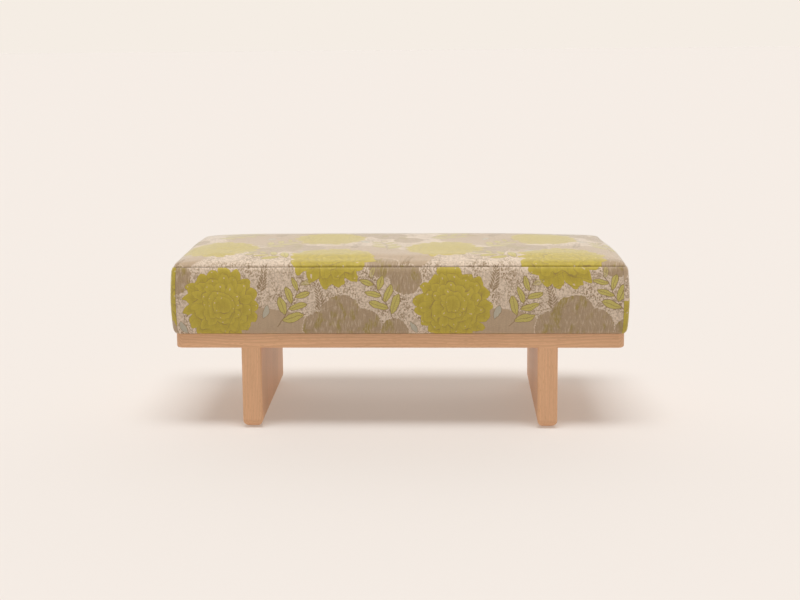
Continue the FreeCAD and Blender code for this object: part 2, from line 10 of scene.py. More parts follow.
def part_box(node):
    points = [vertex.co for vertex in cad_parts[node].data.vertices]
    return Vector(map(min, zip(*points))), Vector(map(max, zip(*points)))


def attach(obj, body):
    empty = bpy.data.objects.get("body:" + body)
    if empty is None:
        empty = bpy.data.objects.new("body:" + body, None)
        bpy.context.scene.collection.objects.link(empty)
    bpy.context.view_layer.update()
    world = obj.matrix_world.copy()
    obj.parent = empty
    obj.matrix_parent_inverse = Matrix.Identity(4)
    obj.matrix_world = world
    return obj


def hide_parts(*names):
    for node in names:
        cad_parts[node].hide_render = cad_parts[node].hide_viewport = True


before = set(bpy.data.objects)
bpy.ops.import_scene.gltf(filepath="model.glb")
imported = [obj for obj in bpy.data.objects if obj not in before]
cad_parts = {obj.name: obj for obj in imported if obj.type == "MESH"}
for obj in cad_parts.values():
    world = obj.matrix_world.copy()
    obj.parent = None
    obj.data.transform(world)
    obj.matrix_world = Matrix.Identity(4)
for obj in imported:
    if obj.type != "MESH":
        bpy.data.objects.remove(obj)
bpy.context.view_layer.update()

BODY = "root"
TURN = 2 * math.pi

# Camera, as found from the edges of the platform and the legs in the photograph
PHOTO_WIDTH = 800
PHOTO_HEIGHT = 600
FOCAL_PIXELS = 1378.8
OPTICAL_CENTRE = (386.7, 212.2)
CAMERA_PLACE = Vector((0.1256, -3.7329, 1.1024))
CAMERA_YAW = math.radians(-2.514)
CAMERA_PITCH = math.radians(8.569)
CAMERA_ROLL = math.radians(-0.594)
SENSOR_WIDTH = 36.0

# Cushion
SEAM_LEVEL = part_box("front_cover")[1].z
CUSHION_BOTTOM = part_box("front_cover")[0].z
HALF_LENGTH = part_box("top_cover")[1].x
HALF_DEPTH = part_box("top_cover")[1].y
CROWN_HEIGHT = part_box("top_cover")[1].z - SEAM_LEVEL
SIDE_HEIGHT = SEAM_LEVEL - CUSHION_BOTTOM
CORNER_SEAM_TO_EDGE = 0.0025
CORNER_RADIUS = 0.016
CORNER_SEAM_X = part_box("front_cover")[1].x - CORNER_SEAM_TO_EDGE
CROWN_WIDTH = 0.064
CROWN_CORNER_GROWTH = 0.5
SIDE_ROUNDING = 0.005
SIDE_SWELL = 0.006
BOTTOM_EASE = 0.005
TOP_EASE = 0.007
SEAM_DRAW = 0.002
GROOVE_DEPTH = 0.0013
GROOVE_DROP = 0.0006
ALLOWANCE_WIDTH = 0.0125
ALLOWANCE_RISE = 0.0005
SIDE_WAVE = 0.0010
TOP_WAVE = 0.0012
TOP_WAVE_MARGIN = 0.06

# The back corners of the cushion have settled: side, drawn in, lowered, and how far round it reaches
SETTLED_CORNERS = [(1, 0.022, 0.0045, 0.205), (-1, 0.0045, 0.0040, 0.11)]
SETTLED_FROM = 0.06

# Stuffing pressed out against the cover by a short cloth simulation
PUFF_VOXEL = 0.009
PUFF_PRESSURE = 4.0
PUFF_FRAMES = 20
PUFF_START = 0.003
PUFF_LIMIT = 0.005
PUFF_HELD = 0.011
PUFF_REACH = 0.045
PUFF_NEIGHBOURS = 12

# Where each side panel is cut from the cloth: front, right, back, left. The top follows the front.
PANEL_SHIFTS = [(0.0, 0.0), (0.31, 0.05), (0.17, 0.31), (0.44, 0.23)]
TOP_PANEL_SHIFT = 0.012

# Woven pattern, one repeat. Flowers, sprigs, ferns and buds: place, size and turn in degrees.
# Clouds: place and radius. Hills: middle, half width and height.
REPEAT_WIDTH = 0.60
REPEAT_HEIGHT = 0.62
WEFT_PITCH = 0.0011
WARP_PITCH = 0.0009
FLOWERS = [
    (0.140, 0.078, 0.100, 10),
    (0.425, 0.236, 0.112, 40),
    (0.115, 0.352, 0.104, 75),
    (0.400, 0.508, 0.098, 20),
]
PETAL_NOTCH = 0.13
FERN_STEM = 0.085
SPRIG_STEM = 0.135
FLOWER_RINGS = [(1.00, 17), (0.79, 15), (0.59, 12), (0.40, 9), (0.22, 5)]
SPRIGS = [
    (0.322, 0.078, 1.0, 62),
    (0.560, 0.098, 1.0, 118),
    (0.262, 0.262, 1.0, 150),
    (0.265, 0.425, 1.0, 48),
    (0.560, 0.395, 1.0, 100),
    (0.130, 0.545, 1.0, 15),
]
FERNS = [
    (0.250, 0.150, 1.0, 80),
    (0.395, 0.100, 1.0, 100),
    (0.020, 0.200, 1.0, 70),
    (0.300, 0.345, 1.0, 110),
    (0.480, 0.390, 1.0, 75),
    (0.530, 0.560, 1.0, 95),
    (0.265, 0.570, 1.0, 60),
]
BUDS = [
    (0.255, 0.060, 0.020, 70),
    (0.040, 0.018, 0.018, 120),
    (0.345, 0.310, 0.020, 20),
    (0.235, 0.500, 0.019, 60),
    (0.500, 0.455, 0.018, 140),
]
CLOUDS = [
    (0.400, 0.015, 0.048),
    (0.452, 0.050, 0.056),
    (0.505, 0.020, 0.050),
    (0.590, 0.005, 0.036),
    (0.020, 0.150, 0.042),
    (0.560, 0.190, 0.040),
    (0.240, 0.320, 0.050),
    (0.300, 0.375, 0.052),
    (0.360, 0.360, 0.040),
    (0.500, 0.585, 0.052),
    (0.565, 0.545, 0.050),
    (0.020, 0.480, 0.042),
]
HILLS = [
    (0.255, -0.095, 0.155, 0.130),
    (0.585, 0.250, 0.110, 0.085),
    (0.230, 0.630, 0.150, 0.060),
    (0.430, 0.335, 0.170, 0.060),
]

CHARTREUSE = (0.50, 0.39, 0.045, 1)
DEEP_CHARTREUSE = (0.36, 0.265, 0.028, 1)
PALE_GROUND = (0.69, 0.560, 0.44, 1)
TAUPE = (0.38, 0.27, 0.165, 1)
OLIVE_BROWN = (0.33, 0.24, 0.08, 1)
GREY_BEIGE = (0.455, 0.330, 0.215, 1)
KHAKI = (0.53, 0.45, 0.12, 1)
OUTLINE_BROWN = (0.235, 0.146, 0.06, 1)
BLUE_GREY = (0.46, 0.42, 0.33, 1)


class Num:
    """A number that nodes work out; plain arithmetic on it adds the nodes."""

    def __init__(self, graph, socket):
        self.graph = graph
        self.socket = socket

    def __add__(self, other):
        return self.graph.math("ADD", self, other)

    __radd__ = __add__

    def __sub__(self, other):
        return self.graph.math("SUBTRACT", self, other)

    def __rsub__(self, other):
        return self.graph.math("SUBTRACT", other, self)

    def __mul__(self, other):
        return self.graph.math("MULTIPLY", self, other)

    __rmul__ = __mul__

    def __truediv__(self, other):
        return self.graph.math("DIVIDE", self, other)

    def __abs__(self):
        return self.graph.math("ABSOLUTE", self)

    def __lt__(self, other):
        return self.graph.math("LESS_THAN", self, other)

    def __gt__(self, other):
        return self.graph.math("GREATER_THAN", self, other)


class Graph:
    """The nodes of one material or of the world."""

    def __init__(self, owner):
        owner.use_nodes = True
        self.tree = owner.node_tree
        self.tree.nodes.clear()

    def plug(self, value, socket):
        if isinstance(value, Num):
            value = value.socket
        if isinstance(value, bpy.types.NodeSocket):
            self.tree.links.new(value, socket)
        elif socket.type == "VECTOR":
            socket.default_value = value[:3]
        else:
            socket.default_value = value

    def add(self, kind, settings=None, inputs=None):
        node = self.tree.nodes.new(kind)
        for name, value in (settings or {}).items():
            setattr(node, name, value)
        for name, value in (inputs or {}).items():
            self.plug(value, node.inputs[name])
        return node

    def math(self, operation, *values):
        node = self.add("ShaderNodeMath", {"operation": operation}, dict(enumerate(values)))
        return Num(self, node.outputs[0])

    def vector(self, operation, *values):
        node = self.add("ShaderNodeVectorMath", {"operation": operation}, dict(enumerate(values)))
        return node.outputs["Vector"]

    def length(self, vector):
        node = self.add("ShaderNodeVectorMath", {"operation": "LENGTH"}, {0: vector})
        return Num(self, node.outputs["Value"])

    def split(self, vector):
        node = self.add("ShaderNodeSeparateXYZ", None, {0: vector})
        return [Num(self, socket) for socket in node.outputs]

    def join(self, *values):
        return self.add("ShaderNodeCombineXYZ", None, dict(enumerate(values))).outputs[0]

    def smooth(self, value, low, high, start=0.0, end=1.0):
        """A soft step of `value` between low and high, from start to end."""
        sizes = {"Value": value, "From Min": low, "From Max": high, "To Min": start, "To Max": end}
        node = self.add("ShaderNodeMapRange", {"interpolation_type": "SMOOTHSTEP"}, sizes)
        return Num(self, node.outputs[0])

    def choose(self, share, first, second):
        """The number `first` where share is 0 and `second` where it is 1."""
        node = self.add("ShaderNodeMix", {"data_type": "FLOAT"}, {0: share, 2: first, 3: second})
        return Num(self, node.outputs[0])

    def choose_vector(self, share, first, second):
        node = self.add("ShaderNodeMix", {"data_type": "VECTOR"}, {0: share, 4: first, 5: second})
        return node.outputs[1]

    def mix(self, share, first, second):
        """The colour `first` where share is 0 and `second` where it is 1."""
        node = self.add("ShaderNodeMix", {"data_type": "RGBA"}, {0: share, 6: first, 7: second})
        return node.outputs[2]

    def brighten(self, colour, factor):
        node = self.add("ShaderNodeVectorMath", {"operation": "SCALE"}, {0: colour, "Scale": factor})
        return node.outputs["Vector"]

    def noise(self, place, scale, detail=2.0, roughness=0.5, output=0):
        sizes = {"Vector": place, "Scale": scale, "Detail": detail, "Roughness": roughness}
        socket = self.add("ShaderNodeTexNoise", None, sizes).outputs[output]
        return Num(self, socket) if output == 0 else socket

    def cells(self, place, scale):
        """Distance to the middle of the nearest random cell, and that cell's own random colour."""
        node = self.add("ShaderNodeTexVoronoi", {"feature": "F1"}, {"Vector": place, "Scale": scale})
        return Num(self, node.outputs["Distance"]), node.outputs["Color"]

    def object_place(self):
        """The place in the bench's own frame, in metres."""
        return self.add("ShaderNodeTexCoord").outputs["Object"]

    def bump(self, height, strength, distance=0.001):
        """A normal for height in millimetres."""
        sizes = {"Height": height, "Strength": strength, "Distance": distance}
        return self.add("ShaderNodeBump", None, sizes).outputs[0]

    def surface(self, **inputs):
        """Ends the graph in one plain surface shader."""
        named = {name.replace("_", " "): value for name, value in inputs.items()}
        shader = self.add("ShaderNodeBsdfPrincipled", None, named)
        self.add("ShaderNodeOutputMaterial", None, {"Surface": shader.outputs[0]})


def new_material(name):
    material = bpy.data.materials.new(name)
    return material, Graph(material)


def seen_from(g, place, u, v):
    """The place as seen from the nearest copy of the point u, v in the repeated pattern."""
    half = (REPEAT_WIDTH / 2, REPEAT_HEIGHT / 2, 1)
    local = g.vector("SUBTRACT", place, (u, v, 0))
    return g.vector("WRAP", local, half, tuple(-h for h in half))


def nearest_motif(g, place, motifs, sized=False):
    """The place as seen from the nearest motif of a list. Where sized, the motif's size is 1 there."""
    best = None
    for u, v, size, turn in motifs:
        local = seen_from(g, place, u, v)
        share = 1 / size if sized else 1.0
        settings = {"Rotation": (0, 0, -math.radians(turn)), "Scale": (share, share, share)}
        local = g.add("ShaderNodeMapping", None, {"Vector": local, **settings}).outputs[0]
        reach = g.length(local)
        if best is None:
            best, best_reach = local, reach
            continue
        nearer = reach < best_reach
        best = g.choose_vector(nearer, best, local)
        best_reach = g.math("MINIMUM", reach, best_reach)
    return best, best_reach


def flower(g, place):
    """A round many-petalled flower: how far inside it a place is, its tone, and its drawn lines."""
    local, reach = nearest_motif(g, place, FLOWERS, sized=True)
    x, y, _ = g.split(local)
    turn = g.math("ARCTAN2", y, x) / TURN
    uneven = g.noise(place, 20.0, 2.0) - 0.5
    reach = reach + uneven * 0.55
    turn = turn + uneven * 0.055
    line = None
    for k, (ring, petals) in enumerate(FLOWER_RINGS):
        across = abs(g.math("FRACT", turn * petals + 0.37 * k) - 0.5) * 2
        inside = ring - across * across * (PETAL_NOTCH * ring) - reach
        if line is None:
            whole, line, petal, depth = inside, abs(inside), across, inside
            continue
        within = inside > 0
        petal = g.choose(within, petal, across)
        depth = g.choose(within, depth, inside)
        line = g.math("MINIMUM", line, abs(inside))
    mask = g.smooth(whole, -0.004, 0.006)
    drawn = g.smooth(line, 0.005, 0.019, 1.0, 0.0)
    gap = g.smooth(petal, 0.88, 1.0) * 0.7
    vein = g.smooth(petal, 0.02, 0.12, 0.35, 0.0)
    lines = g.math("MAXIMUM", drawn, g.math("MAXIMUM", gap, vein))
    tone = g.smooth(depth, 0.02, 0.20)
    speck = g.length(g.join(petal * 0.22, depth * 1.6 - 0.11, 0.0))
    speck = g.smooth(speck, 0.014, 0.034, 1.0, 0.0) * g.smooth(g.noise(place, 55.0, 0.0), 0.47, 0.56)
    return mask, tone, lines, speck


def leaf_rows(g, place, motifs, stem, pitch, leaf_length, leaf_width, angle, bend):
    """Sprigs with leaves in turn on both sides: how far inside a leaf a place is, and near a vein."""
    local, _ = nearest_motif(g, place, motifs)
    x, y, _ = g.split(local)
    y = y - x * x * bend
    across = abs(y)
    root = x + stem / 2 - across / math.tan(angle)
    cell = root / pitch + (y > 0) * 0.5
    offset = (g.math("FRACT", cell) - 0.5) * pitch
    start = root - offset
    along = offset * math.cos(angle) + across / math.sin(angle)
    shrink = 1.08 - start * (0.5 / stem)
    share = along / (shrink * leaf_length)
    swell = g.math("MAXIMUM", share * (1 - share) * 4, 0.0)
    half = g.math("POWER", swell, 0.75) * shrink * leaf_width
    away = abs(offset) * math.sin(angle)
    inside = half - away
    on_stem = (start > pitch * 0.25) * (start < stem - pitch * 0.25)
    inside = g.choose(on_stem, -1.0, inside)
    ribs = g.math("FRACT", (along - away * 0.8) / (leaf_width * 0.45))
    return inside, away, ribs, across, x


def wobbled(g, place):
    """The place shifted a little this way and that, so that drawn edges look hand made."""
    slow = g.noise(place, 26.0, 1.0, output=1)
    fast = g.noise(place, 160.0, 1.0, output=1)
    slow = g.vector("MULTIPLY", g.vector("SUBTRACT", slow, (0.5, 0.5, 0.5)), (0.012, 0.012, 0))
    fast = g.vector("MULTIPLY", g.vector("SUBTRACT", fast, (0.5, 0.5, 0.5)), (0.003, 0.003, 0))
    return g.vector("ADD", place, g.vector("ADD", slow, fast))


def in_circles(g, place, circles):
    """How far inside the nearest of some circles a place is."""
    best = None
    for u, v, radius in circles:
        inside = radius - g.length(seen_from(g, place, u, v))
        best = inside if best is None else g.math("MAXIMUM", best, inside)
    return best


def in_hills(g, place):
    """How far inside the nearest low hill a place is, as a share of its height."""
    best = None
    for u, v, half_width, height in HILLS:
        local = g.vector("MULTIPLY", seen_from(g, place, u, v), (1 / half_width, 1 / height, 0))
        inside = 1 - g.length(local)
        best = inside if best is None else g.math("MAXIMUM", best, inside)
    return best


def ground_marks(g, place):
    """Pebbly brown marks on the pale ground, denser in places."""
    dots, tint = g.cells(place, 175.0)
    random = g.split(tint)[0]
    dots = g.smooth(dots - random * 0.30, 0.12, 0.24, 1.0, 0.0)
    rings, _ = g.cells(place, 78.0)
    rings = g.smooth(abs(rings - 0.42), 0.03, 0.12, 1.0, 0.0)
    strokes = g.noise(g.vector("MULTIPLY", place, (1.0, 0.5, 1.0)), 260.0, 1.0)
    strokes = g.smooth(strokes, 0.54, 0.62)
    density = g.smooth(g.noise(place, 17.0, 1.0), 0.36, 0.60, 0.45, 1.0)
    marks = g.math("MAXIMUM", dots, rings * 0.65)
    marks = g.math("MAXIMUM", marks, strokes * 0.75)
    return marks * density


def cloth_material():
    """Patterned woven cloth: drawn motifs over a pale ground, with slubs, weave, a soft sheen and painted
    shade along the seams.
    """
    material, g = new_material("patterned_cloth")
    flat = g.add("ShaderNodeUVMap", {"uv_map": "cloth"}).outputs[0]
    place = wobbled(g, flat)

    colour = g.mix(ground_marks(g, place) * 0.85, PALE_GROUND, OUTLINE_BROWN)

    hill = in_hills(g, place)
    hill_mask = g.smooth(hill, -0.005, 0.015)
    colour = g.mix(hill_mask, colour, GREY_BEIGE)

    cloud = in_circles(g, place, CLOUDS)
    ragged = cloud + (g.noise(place, 190.0, 1.0) - 0.5) * 0.010
    cloud_mask = g.smooth(ragged, -0.0006, 0.0010)
    patches = g.noise(g.vector("MULTIPLY", place, (1.0, 0.5, 1.0)), 30.0, 3.0, 0.65)
    cloud_colour = g.mix(g.smooth(patches, 0.50, 0.62), TAUPE, OLIVE_BROWN)
    threads = g.noise(g.vector("MULTIPLY", place, (1.0, 0.12, 1.0)), 420.0, 1.0)
    cloud_colour = g.mix(g.smooth(threads, 0.50, 0.72, 0.0, 0.40), cloud_colour, PALE_GROUND)
    rim = g.smooth(abs(ragged + 0.0016), 0.0004, 0.0016, 0.75, 0.0)
    colour = g.mix(rim, colour, PALE_GROUND)
    colour = g.mix(cloud_mask, colour, cloud_colour)

    fern = leaf_rows(
        g, place, FERNS, FERN_STEM, pitch=0.0085, leaf_length=0.020, leaf_width=0.0026,
        angle=math.radians(38), bend=1.5,
    )
    fern_mask = g.smooth(fern[0], -0.0003, 0.0006) * (1 - cloud_mask) * 0.75
    colour = g.mix(fern_mask, colour, OUTLINE_BROWN)

    bud_place, _ = nearest_motif(g, place, BUDS, sized=True)
    bud_x, bud_y, _ = g.split(bud_place)
    bud = (1 - bud_x * bud_x) * 0.42 - abs(bud_y)
    bud_mask = g.smooth(bud, -0.03, 0.04)
    colour = g.mix(bud_mask, colour, BLUE_GREY)
    bud_line = g.smooth(abs(bud), 0.02, 0.07, 0.6, 0.0)
    colour = g.mix(bud_line, colour, OUTLINE_BROWN)

    petals, tone, lines, speck = flower(g, place)
    petal_colour = g.mix(tone * 0.45, CHARTREUSE, DEEP_CHARTREUSE)
    strength = g.smooth(g.noise(place, 40.0, 1.0), 0.35, 0.65, 0.15, 0.62)
    petal_colour = g.mix(lines * strength, petal_colour, OUTLINE_BROWN)
    petal_colour = g.mix(speck * 0.8, petal_colour, PALE_GROUND)
    colour = g.mix(petals, colour, petal_colour)

    inside, vein, ribs, across, along = leaf_rows(
        g, place, SPRIGS, SPRIG_STEM, pitch=0.036, leaf_length=0.058, leaf_width=0.0112,
        angle=math.radians(46), bend=1.1,
    )
    leaves = g.smooth(inside, -0.0007, 0.0002)
    edge = g.smooth(inside, 0.0006, 0.0016, 1.0, 0.0)
    middle = g.smooth(vein, 0.0003, 0.0010, 0.8, 0.0)
    rib = g.smooth(ribs, 0.0, 0.30, 0.5, 0.0)
    stem = g.smooth(across, 0.0006, 0.0013, 1.0, 0.0) * (abs(along) < SPRIG_STEM / 2 + 0.0005)
    leaf_colour = g.mix(g.math("MAXIMUM", g.math("MAXIMUM", edge, middle), rib), KHAKI, OUTLINE_BROWN)
    colour = g.mix(leaves, colour, leaf_colour)
    colour = g.mix(stem * 0.8, colour, OUTLINE_BROWN)

    slub = g.noise(g.vector("MULTIPLY", flat, (1.0, 11.0, 1.0)), 120.0, 1.0)
    fleck = g.noise(g.vector("MULTIPLY", flat, (2.2, 1.0, 1.0)), 330.0, 1.0)
    thread = g.noise(g.vector("MULTIPLY", flat, (1.0, 0.14, 1.0)), 210.0, 1.0)
    colour = g.brighten(colour, 0.56 + slub * 0.28 + fleck * 0.36 + thread * 0.24)
    # Painted shade: the cloth is darkened in a thin line along the seams, where the seam grooves fall into
    # shade.
    seam = Num(g, g.add("ShaderNodeAttribute", {"attribute_name": "seam"}).outputs["Fac"])
    colour = g.brighten(colour, g.smooth(seam, 0.62, 0.98, 1.0, 0.42))

    raised = g.math("MAXIMUM", petals, leaves)
    raised = g.math("MAXIMUM", raised, cloud_mask * 0.5)
    u, v, _ = g.split(flat)
    weft = g.math("SINE", v * (TURN / WEFT_PITCH))
    warp = g.math("SINE", u * (TURN / WARP_PITCH))
    height = raised * 0.25 + weft * warp * 0.05 + slub * 0.12
    g.surface(
        Base_Color=colour,
        Roughness=0.6,
        Specular_IOR_Level=0.5,
        Sheen_Weight=1.0,
        Sheen_Roughness=0.30,
        Sheen_Tint=(1.0, 0.96, 0.90, 1.0),
        Normal=g.bump(height, 0.5),
    )
    return material


WOOD_DRIFT = 0.022


def wood_material(name, grain, pith, seed, light, dark, ring=0.0036, contrast=0.36):
    """Straight-grained wood cut from a log. grain is the axis it runs along, pith the log's middle
    on the two other axes, in their order. ring is the width of a year's growth, contrast how far the
    late wood and the pores are from light to dark."""
    material, g = new_material(name)
    parts = g.split(g.object_place())
    along = parts.pop(grain)
    a, b = parts
    drift = g.noise(g.join(along * 0.8 + seed, a * 4.0, b * 4.0), 2.2, 2.0, output=1)
    drift_a, drift_b, _ = g.split(drift)
    a_away = a - pith[0] + (drift_a - 0.5) * WOOD_DRIFT
    b_away = b - pith[1] + (drift_b - 0.5) * WOOD_DRIFT
    reach = g.math("SQRT", a_away * a_away + b_away * b_away)
    uneven = g.noise(g.join(along * 0.20, a * 1.0, b * 1.0 + seed), 30.0, 2.0)
    ringed = g.math("FRACT", reach / ring + uneven * 1.1)
    late = g.smooth(ringed, 0.30, 0.88) * g.smooth(ringed, 0.92, 1.0, 1.0, 0.0)
    fibre = g.noise(g.join(along * 10.0, a * 520.0, b * 520.0 + seed), 1.0, 2.0)
    pores = g.noise(g.join(along * 75.0, a * 1100.0, b * 1100.0 + seed), 1.0, 0.0)
    pores = g.smooth(pores, 0.60, 0.72) * (1 - late)
    blotch = g.noise(g.join(along * 2.0 + seed, a * 9.0, b * 9.0), 1.6, 2.0)
    colour = g.mix(late * contrast, light, dark)
    colour = g.mix(pores * (contrast * 1.3), colour, dark)
    colour = g.brighten(colour, 0.79 + fibre * 0.28 + blotch * 0.20)
    height = pores * -0.10 + fibre * 0.05 + late * 0.03
    g.surface(
        Base_Color=colour,
        Roughness=0.52 - late * 0.08,
        Specular_IOR_Level=0.35,
        Normal=g.bump(height, 0.35),
    )
    return material


def grained_material(name, colour, dark, scale, roughness, metallic=0.0, stretch=(1, 1, 1), depth=0.05):
    """A surface with fine uneven grain, for metal, plastic and rough cloth."""
    material, g = new_material(name)
    place = g.vector("MULTIPLY", g.object_place(), stretch)
    fine = g.noise(place, scale, 3.0, 0.6)
    broad = g.noise(place, scale * 0.06, 2.0)
    blend = g.smooth(fine * 0.6 + broad * 0.4, 0.35, 0.65)
    g.surface(
        Base_Color=g.mix(blend, colour, dark),
        Roughness=roughness + fine * 0.12,
        Metallic=metallic,
        Normal=g.bump(fine * depth, 0.5),
    )
    return material


def woven_material(name, colour, dark, pitch, depth):
    """Plain weave of coarse threads, seen in plan."""
    material, g = new_material(name)
    x, y, z = g.split(g.object_place())
    over = g.math("SINE", x * (TURN / pitch)) * g.math("SINE", y * (TURN / pitch))
    uneven = g.noise(g.join(x * 60.0, y * 700.0, z), 1.0, 2.0)
    blend = g.smooth(over * 0.25 + uneven, 0.25, 0.75)
    g.surface(
        Base_Color=g.mix(blend, dark, colour),
        Roughness=0.9,
        Sheen_Weight=0.15,
        Sheen_Roughness=0.5,
        Normal=g.bump(over * depth, 0.6),
    )
    return material


def on_outline(s):
    """Places and outward directions at distances s round the cushion's seam, from the front middle."""
    straight = HALF_LENGTH - CORNER_RADIUS
    quarter = straight + CORNER_RADIUS * math.pi / 2 + HALF_DEPTH - CORNER_RADIUS
    s = np.mod(s, 4 * quarter)
    mirrored = (s // quarter).astype(int) % 2 == 1
    local = np.where(mirrored, quarter - np.mod(s, quarter), np.mod(s, quarter))
    angle = np.clip((local - straight) / CORNER_RADIUS, 0, math.pi / 2)
    x = np.minimum(local, straight) + CORNER_RADIUS * np.sin(angle)
    past = np.maximum(local - straight - CORNER_RADIUS * math.pi / 2, 0)
    y = -HALF_DEPTH + CORNER_RADIUS * (1 - np.cos(angle)) + past
    across, out = np.sin(angle), -np.cos(angle)
    part = (s // quarter).astype(int)
    flip_x = np.where((part == 2) | (part == 3), -1, 1)
    flip_y = np.where((part == 1) | (part == 2), -1, 1)
    return np.stack([x * flip_x, y * flip_y], 1), np.stack([across * flip_x, out * flip_y], 1), quarter


def spaced(first, length, step):
    """Distances from 0 to length, close together at both ends as `first` says."""
    middle = length - 2 * first[-1]
    count = max(1, round(middle / step))
    inner = [first[-1] + middle * k / count for k in range(1, count)]
    return np.array([*first, *inner, *(length - d for d in reversed(first))])


def crown(x, y):
    """Height of the top panel above its seam: each inset rounded rectangle is one level."""
    low = np.zeros_like(x)
    high = np.full_like(x, HALF_DEPTH)
    for _ in range(40):
        inset = (low + high) / 2
        radius = np.minimum(CORNER_RADIUS + CROWN_CORNER_GROWTH * inset, HALF_DEPTH - inset)
        out_x = np.maximum(np.abs(x) - (HALF_LENGTH - inset - radius), 0)
        out_y = np.maximum(np.abs(y) - (HALF_DEPTH - inset - radius), 0)
        within = np.hypot(out_x, out_y) < radius
        low = np.where(within, inset, low)
        high = np.where(within, high, inset)
    share = np.clip(low / CROWN_WIDTH, 0, 1)
    return CROWN_HEIGHT * np.sqrt(1 - (1 - share) ** 2)


def bulge(height):
    """How far the sides stand out from the seam line at a height above the cushion's bottom."""
    rounding = (1 - np.exp(-height / BOTTOM_EASE)) * (1 - np.exp(-(SIDE_HEIGHT - height) / TOP_EASE))
    swell = 1 - (2 * height / SIDE_HEIGHT - 1) ** 2
    return SIDE_ROUNDING * rounding + SIDE_SWELL * swell


class Net:
    """Vertices, faces and cloth coordinates of a mesh in the making."""

    def __init__(self):
        self.points = []
        self.faces = []
        self.flat = []

    def place(self, points):
        """Adds rows of points and returns their numbers in the same rows."""
        start = len(self.points)
        self.points.extend(map(tuple, points.reshape(-1, 3)))
        return start + np.arange(points.shape[0] * points.shape[1]).reshape(points.shape[:2])

    def panel(self, numbers, flat, turned=False):
        """Fills a grid of point numbers with faces. flat holds each point's place on the cloth."""
        rows, columns = numbers.shape
        for r in range(rows - 1):
            for c in range(columns - 1):
                corners = [(r, c), (r, c + 1), (r + 1, c + 1), (r + 1, c)]
                if turned:
                    corners.reverse()
                self.faces.append([int(numbers[k]) for k in corners])
                self.flat.extend(tuple(flat[k]) for k in corners)

    def mesh(self, name):
        made = bpy.data.meshes.new(name)
        made.from_pydata(self.points, [], self.faces)
        layer = made.uv_layers.new(name="cloth")
        layer.data.foreach_set("uv", np.array(self.flat, np.float32).ravel())
        made.validate()
        made.update()
        return made


def cap_grid(ring, front, side, corners):
    """Plan places of a grid that fills the closed ring. ring holds the ring's own places."""
    n, m = len(front) - 1, len(side) - 1
    bottom = ring[: n + 1]
    right = ring[n : n + m + 1]
    top = ring[n + m : 2 * n + m + 1][::-1]
    left = np.concatenate([ring[2 * n + m :], ring[:1]])[::-1]
    u = (front / front[-1])[None, :, None]
    v = (side / side[-1])[:, None, None]
    grid = (1 - v) * bottom[None] + v * top[None] + (1 - u) * left[:, None] + u * right[:, None]
    grid -= (1 - u) * (1 - v) * bottom[0] + u * (1 - v) * bottom[-1]
    grid -= (1 - u) * v * top[0] + u * v * top[-1]
    return grid


def cap_numbers(net, ring_numbers, inner_points, n, m):
    """Point numbers of the grid that fills a ring: the ring's own round the edge, new ones inside."""
    numbers = np.zeros((m + 1, n + 1), int)
    numbers[1:-1, 1:-1] = net.place(inner_points)
    numbers[0] = ring_numbers[: n + 1]
    numbers[:, -1] = ring_numbers[n : n + m + 1]
    numbers[-1] = ring_numbers[n + m : 2 * n + m + 1][::-1]
    numbers[:, 0] = np.concatenate([ring_numbers[2 * n + m :], ring_numbers[:1]])[::-1]
    return numbers


